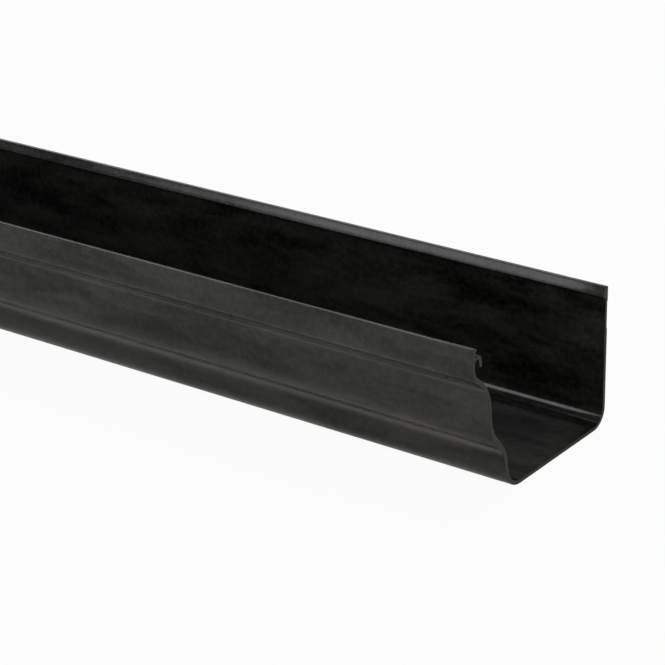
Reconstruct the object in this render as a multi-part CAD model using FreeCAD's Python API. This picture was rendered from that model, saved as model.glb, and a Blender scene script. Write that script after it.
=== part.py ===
import FreeCAD, Part
import math
import os

# A length of ogee rain gutter: one extrusion of rigid plastic, open at the top and at both sawn ends.
# X runs along the length, the moulded front faces -Y, the flat back faces +Y, and Z is up.
# The origin is under the middle of the gutter, level with the flat base. All sizes are in millimetres.

# Overall sizes
length = 2000.0
width = 114.0
front_height = 80.0
back_height = 70.9
wall = 2.0

# Front, from the top down. An inset is measured inwards from the flat band at the top of the front,
# a drop down from the top of the front and a height up from the base.
band_corner_drop = 14.3        # where the band and the first ledge would meet
curl_rise = 1.2                # the band turns inwards about this far above that corner
curl_run = 1.6                 # and ends at a crisp edge, this far in from the band
cove_inset = 12.4              # the cove, where the first ledge turns down into the main face
cove_drop = 24.2
face_belly_inset = 14.2        # the belly, where the main face sweeps inwards
face_belly_height = 33.6
lower_edge_inset = 18.6        # second crisp edge, at the end of that sweep
lower_edge_height = 27.0
lower_ledge_foot_inset = 23.0  # foot of the second ledge
lower_ledge_foot_height = 23.0
sole_top_inset = 26.1          # top of the sole, the rounded lowest part of the front
sole_top_height = 19.0
base_front_inset = 29.0        # the sole rounds into the flat base about this corner

# Walls of the moulded front, which is a little thicker than the flat walls
first_ledge_wall = 2.4
face_wall = 2.2
lower_ledge_wall = 2.6
sole_wall = 2.2

# Radii on the outside of the moulding, and on the inside, which is rounder
curl_radius = 9.0
cove_radius = 8.5
face_belly_radius = 29.0
lower_ledge_foot_radius = 2.0
sole_top_radius = 9.5
base_front_radius = 12.0
base_back_radius = 9.5
edge_inside_radius = 6.0
cove_inside_radius = 23.0
belly_inside_radius = 19.0
sole_inside_radius = 18.0
crisp_radius = 0.3

# Lip along the top of the front, a thin beak that points inwards
lip_reach = 3.5                # from the face of the band to the tip
lip_land = 1.0                 # level part of its top, from the face of the band
lip_droop = 0.8                # the tip is this much lower than the front
lip_tip = 0.5
lip_corner_radius = 0.3
lip_tip_radius = 0.15

# Hook below the lip, which the union brackets and end caps clip over
hook_root_drop = 2.2           # top of the arm at the wall, below the top of the front
hook_knee_drop = 5.3           # top of the arm at the knee, below the top of the front
hook_arch_drop = 5.7           # underside of the arm, below the top of the front
hook_end_drop = 10.3           # end of the leg, below the top of the front
hook_reach = 4.9               # from the inside of the wall to the outside of the knee
hook_splay = 0.9               # the end of the leg reaches this much further
hook_leg = 2.0                 # thickness of the leg
hook_knee_radius = 2.0
hook_root_radius = 2.2
hook_arch_radius = 1.0
hook_end_radius = 0.8

# Hollow that cores out the thick root of the hook
core_inset = 2.6               # its middle, from the face of the band
core_drop = 4.0                # its middle, below the top of the front
core_width = 1.9
core_height = 1.1
core_tilt = 0.3                # rise of its ends, one up and one down, as the arm slopes
core_radius = 0.5

# Catch along the inside of the back, a wedge that the brackets snap under
catch_depth = 2.2
catch_top_drop = 0.4           # flat land at the top, above the slope
catch_drop = 4.6               # its sharp edge, below the top of the back
catch_heel = 1.0               # height of its undercut
back_top_extra = 0.4           # the back is this much thicker above the catch

# Shallow recess along the outside of the back
recess_depth = 0.4
recess_top_drop = 8.0
recess_bottom_drop = 20.8
recess_flank = 0.8             # height over which it fades in and out

back_top_radius = 0.5

front = -width / 2
back = width / 2
top = front_height


def arc_between(corner, start, end, radius, reach):
    """The arc that rounds one corner, tangent to both of its legs at start and end."""
    middle_of_chord = (start + end) * 0.5
    inwards = middle_of_chord - corner
    inwards.normalize()
    depth = math.hypot(reach, radius) - radius
    return Part.Arc(start, corner + inwards * depth, end).toShape()


def rounded_wire(corners):
    """A closed wire in the YZ plane through corners (y, z, radius), each rounded by its own radius.

    Where the arcs at the two ends of a leg need more than its length, both shrink until they fit.
    """
    places = [FreeCAD.Vector(0, y, z) for y, z, radius in corners]
    count = len(places)
    legs = [places[(i + 1) % count] - places[i] for i in range(count)]
    half_turns = [legs[i - 1].getAngle(legs[i]) / 2 for i in range(count)]
    reaches = [corners[i][2] * math.tan(half_turns[i]) for i in range(count)]
    shares = [0.98 * legs[i].Length / (reaches[i] + reaches[(i + 1) % count]) for i in range(count)]
    starts = []
    ends = []
    arcs = []
    for i in range(count):
        reach = reaches[i] * min(1.0, shares[i - 1], shares[i])
        radius = reach / math.tan(half_turns[i])
        start = places[i] - legs[i - 1] * (reach / legs[i - 1].Length)
        end = places[i] + legs[i] * (reach / legs[i].Length)
        starts.append(start)
        ends.append(end)
        arcs.append(arc_between(places[i], start, end, radius, reach))
    edges = []
    for i in range(count):
        edges.append(arcs[i])
        edges.append(Part.LineSegment(ends[i], starts[(i + 1) % count]).toShape())
    return Part.Wire(edges)


def meeting(a, b, c, d):
    """Where the line through a and b meets the line through c and d."""
    along = (b[0] - a[0], b[1] - a[1])
    other = (d[0] - c[0], d[1] - c[1])
    cross = along[0] * other[1] - along[1] * other[0]
    share = ((c[0] - a[0]) * other[1] - (c[1] - a[1]) * other[0]) / cross
    return (a[0] + along[0] * share, a[1] + along[1] * share)


def parallel(path, distances):
    """The corners of a path beside an open path, each leg moved to the left by its own distance."""
    legs = []
    for a, b, distance in zip(path, path[1:], distances):
        run = math.hypot(b[0] - a[0], b[1] - a[1])
        shift = (-(b[1] - a[1]) * distance / run, (b[0] - a[0]) * distance / run)
        legs.append(((a[0] + shift[0], a[1] + shift[1]), (b[0] + shift[0], b[1] + shift[1])))
    corners = [legs[0][0]]
    for before, after in zip(legs, legs[1:]):
        corners.append(meeting(*before, *after))
    corners.append(legs[-1][1])
    return corners


# Corners of the outside, from the top of the front down
band_corner = (front, top - band_corner_drop)
cove = (front + cove_inset, top - cove_drop)
face_belly = (front + face_belly_inset, face_belly_height)
lower_edge = (front + lower_edge_inset, lower_edge_height)
lower_ledge_foot = (front + lower_ledge_foot_inset, lower_ledge_foot_height)
sole_top = (front + sole_top_inset, sole_top_height)
base_front = (front + base_front_inset, 0)
base_back = (back, 0)

# The inside runs beside it, and passes smoothly behind the second edge and its ledge
outside = [(front, top), band_corner, cove, face_belly, sole_top, base_front, base_back, (back, back_height)]
walls = [wall, first_ledge_wall, face_wall, lower_ledge_wall, sole_wall, wall, wall]
inside = parallel(outside, walls)


def outside_corners():
    """The outer face, from the top of the front, down, along the base and up the back."""
    slope = (cove[1] - band_corner[1]) / (cove[0] - band_corner[0])
    curl_end = (front + curl_run, band_corner[1] + slope * curl_run)
    corners = [(front, top, lip_corner_radius),
               (front, band_corner[1] + curl_rise, curl_radius),
               (*curl_end, crisp_radius),
               (*cove, cove_radius),
               (*face_belly, face_belly_radius),
               (*lower_edge, crisp_radius),
               (*lower_ledge_foot, lower_ledge_foot_radius),
               (*sole_top, sole_top_radius),
               (*base_front, base_front_radius),
               (*base_back, base_back_radius)]
    for drop, depth in ((recess_bottom_drop + recess_flank, 0), (recess_bottom_drop, recess_depth),
                        (recess_top_drop, recess_depth), (recess_top_drop - recess_flank, 0)):
        corners.append((back - depth, back_height - drop, crisp_radius))
    corners.append((back, back_height, back_top_radius))
    return corners


def catch_corners():
    """The wedge on the inside of the back, from the top down to the plain wall."""
    face = back - wall
    return [(face - back_top_extra, back_height, back_top_radius),
            (face - back_top_extra, back_height - catch_top_drop, crisp_radius),
            (face - catch_depth, back_height - catch_drop, crisp_radius),
            (face, back_height - catch_drop - catch_heel, crisp_radius)]


def inside_corners():
    """The inner face, from the back wall, along the base and up behind the moulding."""
    radii = [base_back_radius - wall, base_front_radius - wall, sole_inside_radius,
             belly_inside_radius, cove_inside_radius, edge_inside_radius]
    return [(*corner, radius) for corner, radius in zip(inside[-2:0:-1], radii)]


def hook_corners():
    """The hook and then the lip, from the inside of the band wall to the tip of the lip."""
    face = front + wall
    knee = face + hook_reach
    arch = top - hook_arch_drop
    end = top - hook_end_drop
    lip_height = top - lip_droop
    return [(face, arch, hook_root_radius),
            (knee - hook_leg, arch, hook_arch_radius),
            (knee - hook_leg + hook_splay, end, hook_end_radius),
            (knee + hook_splay, end, hook_end_radius),
            (knee, top - hook_knee_drop, hook_knee_radius),
            (face, top - hook_root_drop, crisp_radius),
            (front + lip_reach, lip_height - lip_tip, lip_tip_radius),
            (front + lip_reach, lip_height, lip_tip_radius),
            (front + lip_land, top, lip_land)]


section = rounded_wire(outside_corners() + catch_corners() + inside_corners() + hook_corners())
profile = Part.Face(section)

core_y = front + core_inset
core_z = top - core_drop
core = Part.Face(rounded_wire([(core_y - core_width / 2, core_z + core_tilt, core_radius),
                               (core_y, core_z - core_height / 2, core_radius),
                               (core_y + core_width / 2, core_z - core_tilt, core_radius),
                               (core_y, core_z + core_height / 2, core_radius)]))

run = FreeCAD.Vector(length, 0, 0)
gutter = profile.extrude(run).cut(core.extrude(run))
gutter.translate(FreeCAD.Vector(-length / 2, 0, 0))
gutter = gutter.Solids[0]

os.makedirs("parts", exist_ok=True)
gutter.exportStep("parts/gutter.step")
box = gutter.BoundBox
print("gutter", gutter.isValid(), round(gutter.Volume), round(box.XLength, 3), round(box.YLength, 3), round(box.ZLength, 3))
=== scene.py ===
# %% [markdown]
# # A length of ogee rain gutter
#
# Rigid black gutter is extruded: hot plastic is pushed through a shaped slot, the die, cooled, and sawn.
# So the whole object is one outline carried along one straight line, and the lesson is short: draw the
# outline, round its corners, sweep it, close its sawn ends, give it its satin plastic, and light it.

# %% Load the frame
import math
import bmesh
import bpy
import numpy as np
from mathutils import Matrix, Vector
from mathutils.geometry import tessellate_polygon


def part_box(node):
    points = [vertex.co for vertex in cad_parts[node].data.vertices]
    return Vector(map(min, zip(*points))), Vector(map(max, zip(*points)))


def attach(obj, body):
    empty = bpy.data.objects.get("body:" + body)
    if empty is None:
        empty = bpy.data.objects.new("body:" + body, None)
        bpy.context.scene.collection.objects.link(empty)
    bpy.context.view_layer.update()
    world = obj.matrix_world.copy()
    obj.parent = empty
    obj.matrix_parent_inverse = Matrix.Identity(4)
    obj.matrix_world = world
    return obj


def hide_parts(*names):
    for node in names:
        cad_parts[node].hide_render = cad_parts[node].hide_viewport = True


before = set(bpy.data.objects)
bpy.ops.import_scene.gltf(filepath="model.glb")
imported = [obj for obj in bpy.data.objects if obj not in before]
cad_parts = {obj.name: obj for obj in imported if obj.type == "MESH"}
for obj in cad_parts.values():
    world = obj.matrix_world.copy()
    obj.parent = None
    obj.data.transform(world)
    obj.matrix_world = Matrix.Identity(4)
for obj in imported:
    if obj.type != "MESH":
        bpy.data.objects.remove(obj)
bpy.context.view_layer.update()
low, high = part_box("gutter")
length = high.x - low.x
front, back = low.y, high.y
base, top = low.z, high.z
print(f"gutter {length:.3f} m long, {back - front:.4f} m wide, {top - base:.4f} m high")

# %% [markdown]
# ## The outline of the die
#
# The loaded solid has the right shape, but its small arcs come as a few flat facets, and black satin
# plastic shows every facet in its reflections. Smoothing the loaded mesh would blur its crisp edges as
# well. The outline is therefore drawn again, with fine arcs, from the same sizes. Each corner is a row of
# y, z and radius. Straight legs join the corners, and the arcs are worked out later.

# %% Sizes that the whole section shares, in metres
MM = 0.001
wall = 2.0 * MM
crisp = 0.3 * MM
back_top = base + 70.9 * MM
print(f"flat walls {wall / MM:.1f} mm, back {(back_top - base) / MM:.1f} mm high")

# %% [markdown]
# ## The outside
#
# From its top edge the front goes down a flat band, curls in to a crisp edge, and slopes back under it
# into a hollow, the cove. The main face swells gently down to a second crisp edge. A short ledge slopes
# back from there to the sole, which runs down to the base. The back is upright, with a shallow recess
# along it. A list of points along each curve could do the same, but a corner and a radius say what the
# die maker would.


# %% Corners of the outside
def moulding():
    """Corners of the moulded front below its flat band: its feet, turns and edges, from the top down."""
    return {
        "band_corner": (front, top - 14.3 * MM),
        "cove": (front + 12.4 * MM, top - 24.2 * MM),
        "belly": (front + 14.2 * MM, base + 33.6 * MM),
        "lower_edge": (front + 18.6 * MM, base + 27.0 * MM),
        "lower_ledge_foot": (front + 23.0 * MM, base + 23.0 * MM),
        "sole_top": (front + 26.1 * MM, base + 19.0 * MM),
        "base_front": (front + 29.0 * MM, base),
    }


def outer_corners(corner):
    """Outer face from the front's top down, along the base and up the back, as rows of y, z, radius.

    The band leaves its line curl_rise above its corner and meets the ledge under it curl_run further in,
    at corner z + slope * curl_run, where slope is the rise of that ledge over its run.
    """
    corner_z = corner["band_corner"][1]
    slope = (corner["cove"][1] - corner_z) / (corner["cove"][0] - front)
    curl_rise = 1.2 * MM
    curl_run = 1.6 * MM
    recess = 0.4 * MM
    recess_drops = np.array([21.6, 20.8, 8.0, 7.2]) * MM
    recess_foot, recess_low, recess_high, recess_top = back_top - recess_drops
    return np.array([
        (front, top, 0.3 * MM),
        (front, corner_z + curl_rise, 9 * MM),
        (front + curl_run, corner_z + slope * curl_run, crisp),
        (*corner["cove"], 8.5 * MM),
        (*corner["belly"], 29 * MM),
        (*corner["lower_edge"], crisp),
        (*corner["lower_ledge_foot"], 2 * MM),
        (*corner["sole_top"], 9.5 * MM),
        (*corner["base_front"], 12 * MM),
        (back, base, 9.5 * MM),
        (back, recess_foot, crisp),
        (back - recess, recess_low, crisp),
        (back - recess, recess_high, crisp),
        (back, recess_top, crisp),
        (back, back_top, 0.5 * MM)])


corner = moulding()
outside = outer_corners(corner)
print(len(outside), "corners outside")

# %% [markdown]
# ## The inside
#
# The wall is nearly even, because plastic has to cool evenly, and only a little thicker behind the
# moulding. So the inside is a path beside the outside, moved in by each leg's own thickness. It passes
# the short lower ledge by, since nothing inside follows it. A Solidify modifier could give a wall, but
# only one even thickness.


# %% Corners of the inside
def beside(path, distances):
    """The corners of a path beside an open path.

    Each leg moves to its left by its own distance, along its normal (-dz, dy) / length. A new corner is
    where two moved legs meet: start + along * cross(gap, next leg) / cross(this leg, next leg).
    """
    along = np.diff(path, axis=0)
    normals = np.stack([-along[:, 1], along[:, 0]], axis=1) / np.linalg.norm(along, axis=1)[:, None]
    starts = path[:-1] + normals * distances[:, None]

    def cross(a, b):
        return a[:, 0] * b[:, 1] - a[:, 1] * b[:, 0]

    share = cross(starts[1:] - starts[:-1], along[1:]) / cross(along[:-1], along[1:])
    return starts[:-1] + along[:-1] * share[:, None]


def inner_corners(corner):
    """Inner face from the back wall, along the base and up behind the moulding.

    walls follow the outside: band, first ledge, face, lower ledge, sole, base, back.
    radii follow the inside: back of the base, front of the base, sole top, belly, cove, band corner.
    """
    names = ["band_corner", "cove", "belly", "sole_top", "base_front"]
    outer = np.array([(front, top), *[corner[name] for name in names], (back, base), (back, back_top)])
    walls = np.array([2.0, 2.4, 2.2, 2.6, 2.2, 2.0, 2.0]) * MM
    radii = np.array([7.5, 10.0, 18.0, 19.0, 23.0, 6.0]) * MM
    return np.column_stack([beside(outer, walls)[::-1], radii])


inside = inner_corners(corner)
print(len(inside), "corners inside")

# %% [markdown]
# ## The catch and the hook
#
# Brackets hold the gutter by its two top edges. A wedge inside the back's top snaps under the bracket's
# clip, and a J-shaped hook inside the front takes the bracket's nose, with a thin lip above it. On the
# real length they are part of the same outline, so they are corners of it here too, and nothing is
# joined.


# %% Corners of the catch and the hook
def catch_corners():
    """Wedge along the inside of the back wall's top, as rows of y, z, radius from the top down."""
    face = back - wall
    thick = 0.4 * MM
    chamfer = 0.4 * MM
    reach = 2.2 * MM
    barb = back_top - 4.6 * MM
    foot = back_top - 5.6 * MM
    return np.array([
        (face - thick, back_top, 0.5 * MM),
        (face - thick, back_top - chamfer, crisp),
        (face - reach, barb, crisp),
        (face, foot, crisp)])


def hook_corners():
    """J-shaped hook inside the front, then the thin lip above it, as rows of y, z, radius."""
    face = front + wall
    knee = face + 4.9 * MM
    leg = 2.0 * MM
    splay = 0.9 * MM
    arch = top - 5.7 * MM
    end = top - 10.3 * MM
    shoulder = top - 5.3 * MM
    root = top - 2.2 * MM
    tip = front + 3.5 * MM
    lip_under = top - 1.3 * MM
    lip_over = top - 0.8 * MM
    lip_land = front + 1.0 * MM
    return np.array([
        (face, arch, 2.2 * MM),
        (knee - leg, arch, 1.0 * MM),
        (knee - leg + splay, end, 0.8 * MM),
        (knee + splay, end, 0.8 * MM),
        (knee, shoulder, 2.0 * MM),
        (face, root, crisp),
        (tip, lip_under, 0.15 * MM),
        (tip, lip_over, 0.15 * MM),
        (lip_land, top, 1.0 * MM)])


die = np.vstack([outside, catch_corners(), inside, hook_corners()])
print(len(die), "corners in the die")

# %% [markdown]
# ## Round the corners
#
# A die is cut with small tools, so every corner of the real section has some radius, from a crisp 0.3 mm
# up. An arc that touches both legs of a corner starts and ends at the same distance from it, radius *
# tan(half the turn). A Bevel modifier gives every corner one width, so the arcs are worked out here, all
# as one array.


# %% Arcs and points along the outline
def rounded(corners, steps):
    """Points of a closed outline with an arc at each corner.

    reach = radius * tan(turn / 2), cut down where two arcs would need more than the leg between them.
    centre = corner + bisector * hypot(reach, radius), and a point of the arc is the centre plus
    (a * sin((1 - t) * turn) + b * sin(t * turn)) / sin(turn), with a and b the radii to its two ends.
    """
    place = corners[:, :2]
    leg = np.roll(place, -1, axis=0) - place
    size = np.linalg.norm(leg, axis=1)
    onward = leg / size[:, None]
    arriving = np.roll(onward, 1, axis=0)
    turn = np.arccos(np.clip((onward * arriving).sum(1), -1, 1))
    reach = corners[:, 2] * np.tan(turn / 2)
    share = 0.98 * size / (reach + np.roll(reach, -1))
    reach = reach * np.minimum(1, np.minimum(share, np.roll(share, 1)))
    radius = reach / np.tan(turn / 2)
    bisector = onward - arriving
    bisector /= np.linalg.norm(bisector, axis=1)[:, None]
    centre = place + bisector * np.hypot(reach, radius)[:, None]
    a = place - arriving * reach[:, None] - centre
    b = place + onward * reach[:, None] - centre
    t = np.linspace(0, 1, steps)[None, :, None]
    angle = turn[:, None, None]
    arc = (a[:, None] * np.sin((1 - t) * angle) + b[:, None] * np.sin(t * angle)) / np.sin(angle)
    return (centre[:, None] + arc).reshape(-1, 2)


def filled(outline, gap):
    """The outline with more points on its long legs, so that no two are further apart than gap.

    A leg is cut into ceil(its length / gap) equal parts, at start + (end - start) * t.
    """
    after = np.roll(outline, -1, axis=0)
    parts = np.ceil(np.linalg.norm(after - outline, axis=1) / gap).astype(int)
    start = np.repeat(np.arange(len(outline)), parts)
    first = np.repeat(np.cumsum(parts) - parts, parts)
    t = (np.arange(parts.sum()) - first) / parts[start]
    return outline[start] + (after - outline)[start] * t[:, None]


arc_points = 8
longest_gap = 4 * MM
section = filled(rounded(die, arc_points), longest_gap)
print(len(section), "points round the section")

# %% [markdown]
# ## The hollow in the hook's root
#
# Where the hook meets the front the plastic would be too thick to cool evenly, so the die leaves a small
# hollow there, the length of the gutter. It is a second outline inside the first, and it runs the other
# way round, so that the plastic is on the left of both.

# %% Outline of the hollow
core_y, core_z = front + 2.6 * MM, top - 4.0 * MM
half_width = 0.95 * MM
half_height = 0.55 * MM
tilt = 0.3 * MM
core_radius = 0.5 * MM
core_corners = np.array([
    (core_y - half_width, core_z + tilt, core_radius),
    (core_y, core_z - half_height, core_radius),
    (core_y + half_width, core_z - tilt, core_radius),
    (core_y, core_z + half_height, core_radius)])
core = rounded(core_corners, 5)[::-1]
print(len(core), "points round the hollow")

# %% [markdown]
# ## Sweep it and saw it
#
# The length is sawn square, and the saw's edge is rubbed down a little, which shows as a thin line of
# light. A curve with a bevel object could sweep the outline, but it gives no rounded sawn edge. So each
# station along the length is a ring of the outline, and the last few rings draw in round a small arc.


# %% Rings along the length
def inward(outline):
    """Unit normals into the plastic. The outline runs round the plastic with it on the left."""
    along = np.roll(outline, -1, axis=0) - np.roll(outline, 1, axis=0)
    normal = np.stack([-along[:, 1], along[:, 0]], axis=1)
    return normal / np.linalg.norm(normal, axis=1)[:, None]


def stations():
    """Places along the length, and how far the ring at each draws in.

    Round a sawn edge of radius edge, a ring at angle a is edge * (1 - sin a) from the end and drawn in by
    edge * (1 - cos a). Between the two ends the rings are evenly spaced and not drawn in.
    """
    edge = 0.18 * MM
    edge_rings = 4
    spaces = 100
    angle = np.linspace(0, math.pi / 2, edge_rings)
    from_end = edge * (1 - np.sin(angle))
    drawn_in = edge * (1 - np.cos(angle))
    middle = np.linspace(low.x + edge, high.x - edge, spaces + 1)[1:-1]
    x = np.concatenate([low.x + from_end[::-1], middle, high.x - from_end])
    inset = np.concatenate([drawn_in[::-1], np.zeros(len(middle)), drawn_in])
    return x, inset


def swept(outline):
    """Rings of the outline, as (station, point, xyz): outline + normal * inset, at each station's x."""
    x, inset = stations()
    normal = inward(outline)
    rings = outline[None] + normal[None] * inset[:, None, None]
    return np.dstack([np.repeat(x[:, None], len(outline), axis=1), rings])


outer_rings = swept(section)
core_rings = swept(core)
ring_count = len(outer_rings)
print(ring_count, "rings along the gutter")


# %% Faces along the sides and across the ends
def strip_faces(count, rings, start):
    """Quads between neighbouring rings: points p and p + 1, then the same two on the next ring, backwards.

    The point after the last one is the first.
    """
    ring, point = np.meshgrid(np.arange(rings - 1), np.arange(count), indexing="ij")
    here = start + ring * count + point
    beside_here = start + ring * count + (point + 1) % count
    return np.stack([here, beside_here, beside_here + count, here + count], axis=-1).reshape(-1, 4)


def sawn_faces(loops, starts):
    """Triangles across one sawn end, with the hollow left open. starts holds each loop's first point.

    The triangles come numbered through all loops in a row, so a point's new number is its old one, less the
    points of the loops before its own, plus its loop's start.
    """
    flat = [[Vector((p[1], p[2], 0)) for p in loop] for loop in loops]
    triangles = np.array(tessellate_polygon(flat))
    sizes = np.cumsum([0] + [len(loop) for loop in loops])
    which = np.searchsorted(sizes, triangles, side="right") - 1
    return triangles - sizes[which] + np.array(starts)[which]


core_start = ring_count * len(section)
last_ring = (ring_count - 1) * len(section)
last_core_ring = core_start + (ring_count - 1) * len(core)
sides = np.vstack([strip_faces(len(section), ring_count, 0), strip_faces(len(core), ring_count, core_start)])
near = sawn_faces([outer_rings[-1], core_rings[-1]], [last_ring, last_core_ring])
far = sawn_faces([outer_rings[0], core_rings[0]], [0, core_start])
print(len(sides), "quads along the gutter,", len(near) + len(far), "triangles on its sawn ends")


# %% One closed mesh
def signed_volume(mesh, points):
    """Sum of a . (b x c) / 6 over the triangles, which is above zero where the faces point outwards."""
    mesh.calc_loop_triangles()
    triangles = np.zeros(3 * len(mesh.loop_triangles), np.int32)
    mesh.loop_triangles.foreach_get("vertices", triangles)
    a, b, c = points[triangles.reshape(-1, 3)].transpose(1, 0, 2)
    return (a * np.cross(b, c)).sum() / 6


points = np.vstack([outer_rings.reshape(-1, 3), core_rings.reshape(-1, 3)])
mesh = bpy.data.meshes.new("gutter_length")
mesh.from_pydata(points.tolist(), [], sides.tolist() + near.tolist() + far.tolist())
shell = bmesh.new()
shell.from_mesh(mesh)
bmesh.ops.recalc_face_normals(shell, faces=shell.faces)
shell.to_mesh(mesh)
shell.free()
mesh.polygons.foreach_set("use_smooth", np.ones(len(mesh.polygons), bool))
mesh.set_sharp_from_angle(angle=math.radians(50))
mesh.update()
gutter = bpy.data.objects.new("gutter_length", mesh)
bpy.context.scene.collection.objects.link(gutter)
print(f"{len(mesh.polygons)} faces, signed volume {signed_volume(mesh, points) * 1e6:.0f} cm3")

# %% [markdown]
# ## Finishes as Python sums
#
# A finish is a few patterns added and multiplied, and each sum is a node. Written node by node, that is
# hard to read. So one small class wraps a node's output and lets it stand in a Python sum, and another
# adds the nodes.


# %% Nodes from sums
class Value:
    """A node's output that can be used in Python sums."""

    def __init__(self, recipe, socket):
        self.recipe = recipe
        self.socket = socket

    def _with(self, operation, *terms):
        return self.recipe.node("ShaderNodeMath", {"operation": operation}, dict(enumerate(terms)))

    def __add__(self, other):
        return self._with("ADD", self, other)

    __radd__ = __add__

    def __mul__(self, other):
        return self._with("MULTIPLY", self, other)

    __rmul__ = __mul__

    def __sub__(self, other):
        return self._with("SUBTRACT", self, other)

    def __rsub__(self, other):
        return self._with("SUBTRACT", other, self)

    def ramp(self, start, end):
        """0 up to start, 1 past end, smooth between."""
        return self.recipe.node(
            "ShaderNodeMapRange", {"interpolation_type": "SMOOTHSTEP"},
            {"Value": self, "From Min": start, "From Max": end})


class Recipe:
    """The node tree of a material or of the world."""

    def __init__(self, owner):
        owner.use_nodes = True
        owner.node_tree.nodes.clear()
        self.owner = owner
        self.tree = owner.node_tree

    def node(self, kind, settings=None, inputs=None, output=0):
        """Adds a node: first its settings, then values or links for its sockets. Returns one output."""
        made = self.tree.nodes.new(kind)
        for name, value in (settings or {}).items():
            setattr(made, name, value)
        for name, value in (inputs or {}).items():
            if isinstance(value, Value):
                self.tree.links.new(value.socket, made.inputs[name])
            else:
                made.inputs[name].default_value = value
        return Value(self, made.outputs[output])

    def surface(self, shader, kind="ShaderNodeOutputMaterial"):
        """Shows the shader, and returns the material or world."""
        out = self.tree.nodes.new(kind)
        self.tree.links.new(shader.socket, out.inputs["Surface"])
        return self.owner

    def mix(self, factor, a, b):
        """Colour a where factor is 0, b where it is 1."""
        return self.node("ShaderNodeMix", {"data_type": "RGBA"}, {0: factor, 6: a, 7: b}, 2)

    def mapping(self, place, scale, rotation=(0, 0, 0)):
        """Turned and scaled coordinates. A scale below 1 stretches a pattern that way."""
        return self.node("ShaderNodeMapping", {}, {"Vector": place, "Rotation": rotation, "Scale": scale})

    def noise(self, place, scale, detail, roughness, distortion=0.0):
        """Cloudy noise with about scale clouds to the metre, between 0 and 1."""
        return self.node("ShaderNodeTexNoise", {}, {
            "Vector": place, "Scale": scale, "Detail": detail,
            "Roughness": roughness, "Distortion": distortion})


print("helpers for node trees defined")

# %% [markdown]
# ## Satin black plastic
#
# New rigid gutter is nearly glossy. The die leaves very fine lines along it, and handling leaves a grey
# haze, smears drawn out lengthwise, specks of dust and a thin film, and the sawn ends are matt with the
# saw's marks. A painted picture could hold all that, but it would need unwrapping and would blur close
# by. Noises on the gutter's own coordinates stay sharp. Each is stretched along X as far as its mark is
# long.


# %% Plastic
def satin_plastic():
    """Rigid black plastic: haze lifts colour and roughness, film is a thin coat, sawn is 1 on the ends."""
    clean = (0.0015, 0.0015, 0.0015, 1)
    hazed = (0.0205, 0.0207, 0.0202, 1)
    cut_dark = (0.007, 0.0069, 0.0066, 1)
    cut_pale = (0.020, 0.0197, 0.0188, 1)
    r = Recipe(bpy.data.materials.new("satin_black_plastic"))
    place = r.node("ShaderNodeTexCoord", output="Object")
    cloud = r.noise(r.mapping(place, (0.35, 1.0, 1.0)), 80.0, 4.0, 0.6, 0.3)
    mottle = r.noise(place, 330.0, 4.0, 0.65)
    lines = r.noise(r.mapping(place, (0.012, 1.0, 1.0)), 900.0, 3.0, 0.6)
    smear = r.noise(r.mapping(place, (0.22, 1.0, 1.0)), 55.0, 3.0, 0.6, 0.5)
    marks = r.noise(r.mapping(place, (1.0, 1.0, 0.08), (0.5, 0, 0)), 1500.0, 3.0, 0.7)
    dust = r.noise(place, 800.0, 1.0, 0.5).ramp(0.68, 0.76)
    haze = (cloud.ramp(0.38, 0.64) * 0.35 + smear.ramp(0.38, 0.62) * 0.35
            + mottle.ramp(0.35, 0.68) * 0.3 + dust * 0.5)
    film = smear.ramp(0.42, 0.6) * 0.6 + mottle.ramp(0.4, 0.62) * 0.4
    x = r.node("ShaderNodeSeparateXYZ", {}, {"Vector": place}, "X")
    from_middle = r.node("ShaderNodeMath", {"operation": "ABSOLUTE"}, {0: x})
    sawn = from_middle.ramp(length / 2 - 0.25 * MM, length / 2 - 0.1 * MM)
    skin = r.mix(haze, clean, hazed)
    cut = r.mix(marks.ramp(0.3, 0.7), cut_dark, cut_pale)
    colour = r.mix(sawn, skin, cut)
    roughness = (haze * 0.10 + 0.11 + lines * 0.04) * (1 - sawn) + sawn * 0.5
    relief = (lines * 0.5 + mottle * 0.5) * (1 - sawn) + sawn * marks * 6.0
    bump = r.node("ShaderNodeBump", {}, {"Strength": 0.5, "Distance": 0.00002, "Height": relief})
    shader = r.node("ShaderNodeBsdfPrincipled", {}, {
        "Base Color": colour, "Roughness": roughness, "Normal": bump, "Specular IOR Level": 0.32,
        "Coat Weight": film * (1 - sawn) * 0.36, "Coat Roughness": 0.2})
    return r.surface(shader)


mesh.materials.append(satin_plastic())
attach(gutter, "root")
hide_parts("gutter")
print("plastic on", gutter.name)

# %% [markdown]
# ## A white floor in a pale room
#
# Glossy black has hardly a colour of its own: what shows on it is the floor and the lamps, mirrored. So
# the floor is a real pale surface, which takes the gutter's shadow and is seen in its sides, and it looks
# white to the camera by a Light Path mix. More light on the floor would also light the gutter.


# %% Floor and world
def white_floor():
    """Pale paper that glows white for the camera, and a little for reflections."""
    for_camera = 0.94
    for_reflections = 0.1
    r = Recipe(bpy.data.materials.new("white_floor"))
    ray = r.node("ShaderNodeLightPath", output="Is Camera Ray")
    glossy = r.node("ShaderNodeLightPath", output="Is Glossy Ray")
    clear = r.node("ShaderNodeLightPath", output="Is Transmission Ray")
    seen = r.node("ShaderNodeMath", {"operation": "MAXIMUM"}, {0: ray, 1: clear})
    paper = r.node("ShaderNodeBsdfDiffuse", {}, {"Color": (0.93, 0.93, 0.93, 1)})
    glow = r.node("ShaderNodeEmission", {}, {"Color": (1, 1, 1, 1), "Strength": 1.0})
    share = seen * for_camera + glossy * for_reflections
    both = r.node("ShaderNodeMixShader", {}, {0: share, 1: paper, 2: glow})
    return r.surface(both)


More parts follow.
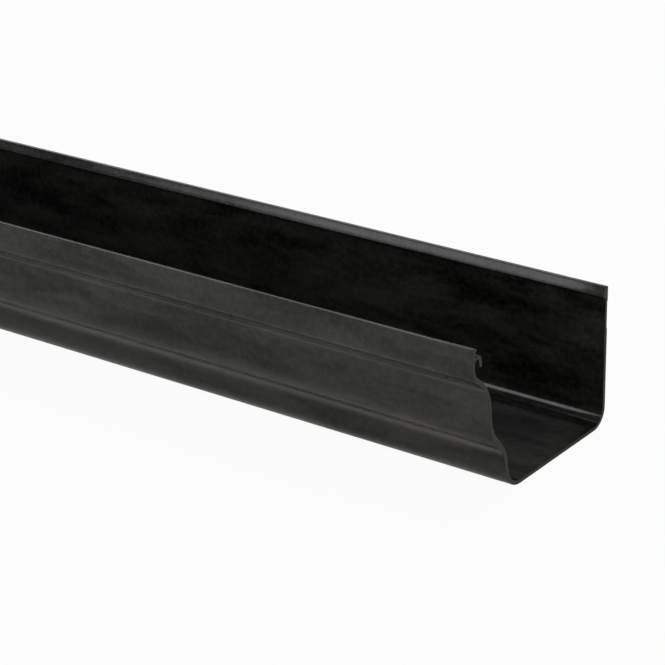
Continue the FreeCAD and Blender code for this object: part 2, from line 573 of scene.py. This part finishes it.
def studio():
    """World that is white to the camera and lights the scene at a low level."""
    r = Recipe(bpy.data.worlds.new("studio"))
    ray = r.node("ShaderNodeLightPath", output="Is Camera Ray")
    room = r.node("ShaderNodeBackground", {}, {"Color": (1, 1, 1, 1), "Strength": 0.15})
    seen = r.node("ShaderNodeBackground", {}, {"Color": (1, 1, 1, 1), "Strength": 1.0})
    both = r.node("ShaderNodeMixShader", {}, {0: ray, 1: room, 2: seen})
    return r.surface(both, "ShaderNodeOutputWorld")


half_side = 12.0
floor_mesh = bpy.data.meshes.new("floor")
floor_corners = [
    (-half_side, -half_side, 0), (half_side, -half_side, 0),
    (half_side, half_side, 0), (-half_side, half_side, 0)]
floor_mesh.from_pydata(floor_corners, [], [(0, 1, 2, 3)])
floor_mesh.materials.append(white_floor())
floor = bpy.data.objects.new("floor", floor_mesh)
gap_below = 0.1 * MM
floor.location.z = base - gap_below
bpy.context.scene.collection.objects.link(floor)
bpy.context.scene.world = studio()
print(f"floor {2 * half_side:.0f} m across")

# %% [markdown]
# ## Soft lamps
#
# The long highlights on the gutter are the lamps' mirror images, so where a lamp stands and how large it
# is matter more than its power. A point lamp would give a hard spark, so each is a round area light. They
# are placed by direction as seen from the near end, which is the part that is looked at most.


# %% Lamps
near_end = Vector((high.x - 0.15, 0, 0.04))


def towards(azimuth, elevation, distance):
    """A place seen from the near end at that azimuth, from -Y towards -X, and elevation, in degrees."""
    a, e = math.radians(azimuth), math.radians(elevation)
    direction = Vector((-math.sin(a) * math.cos(e), -math.cos(a) * math.cos(e), math.sin(e)))
    return near_end + distance * direction


def softbox(name, place, width, height, radiance, colour=(1, 1, 1)):
    """A round or oval area light that shines at the near end.

    Its power is radiance * pi * area, with area = pi / 4 * width * height.
    """
    light = bpy.data.lights.new(name, "AREA")
    light.shape = "ELLIPSE"
    light.size = width
    light.size_y = height
    light.energy = radiance * math.pi * math.pi / 4 * width * height
    light.color = colour
    lamp = bpy.data.objects.new(name, light)
    lamp.location = place
    lamp.rotation_euler = (near_end - place).to_track_quat("-Z", "Y").to_euler()
    bpy.context.scene.collection.objects.link(lamp)
    print(f"{name} {light.energy:.1f} W")


softbox("front_softbox", towards(32.5, 32, 2.4), 1.48, 1.48, 3.3)
softbox("top_softbox", towards(150, 66, 1.8), 1.5, 1.3, 2.2)
softbox("back_softbox", towards(143, 22, 2.4), 2.2, 0.9, 0.9)
softbox("end_softbox", towards(-68, 16, 1.5), 0.8, 0.6, 9.0, (1.0, 0.93, 0.7))

# %% [markdown]
# ## Camera
#
# The camera looks down at the near end from the front with a long lens, so the gutter's edges run nearly
# parallel out of the picture. Its turn is three rotations: round the upright, up from the floor, and a
# small roll.

# %% Camera
azimuth, elevation, roll = map(math.radians, (37.06, 23.43, -1.28))
place = Vector((1.5069, -0.8270, 0.4885))
camera = bpy.data.objects.new("camera", bpy.data.cameras.new("camera"))
bpy.context.scene.collection.objects.link(camera)
camera.data.sensor_width = 36.0
camera.data.lens = 127.8
turned = (Matrix.Rotation(azimuth, 4, "Z") @ Matrix.Rotation(math.pi / 2 - elevation, 4, "X")
          @ Matrix.Rotation(roll, 4, "Z"))
camera.matrix_world = Matrix.Translation(place) @ turned
bpy.context.scene.camera = camera
bpy.context.scene.view_settings.view_transform = "Standard"
print(f"camera {(place - near_end).length:.2f} m from the near end")
